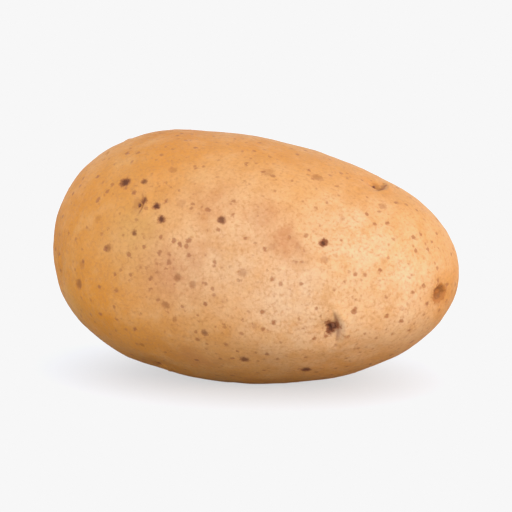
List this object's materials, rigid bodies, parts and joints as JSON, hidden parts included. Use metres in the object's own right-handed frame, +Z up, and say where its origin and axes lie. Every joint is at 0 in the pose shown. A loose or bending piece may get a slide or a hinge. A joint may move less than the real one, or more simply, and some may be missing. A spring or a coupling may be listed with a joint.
{
  "type": "potato",
  "caption": "Whole unpeeled potato, an egg-shaped tuber with a dimpled, speckled tan skin, that lies on its side on a small flat spot.",
  "frame": {"origin": "on the surface that the potato lies on, under the middle of its bounding box", "axes": "+Z up, +X along the potato from its blunt rose end to its narrower heel, +Y across it to its left side when seen from the rose end"},
  "size_m": [0.0958, 0.0628, 0.0572],
  "materials": {
    "potato_skin": null
  },
  "bodies": {
    "root": {"potato": "potato_skin"}
  },
  "joints": []
}
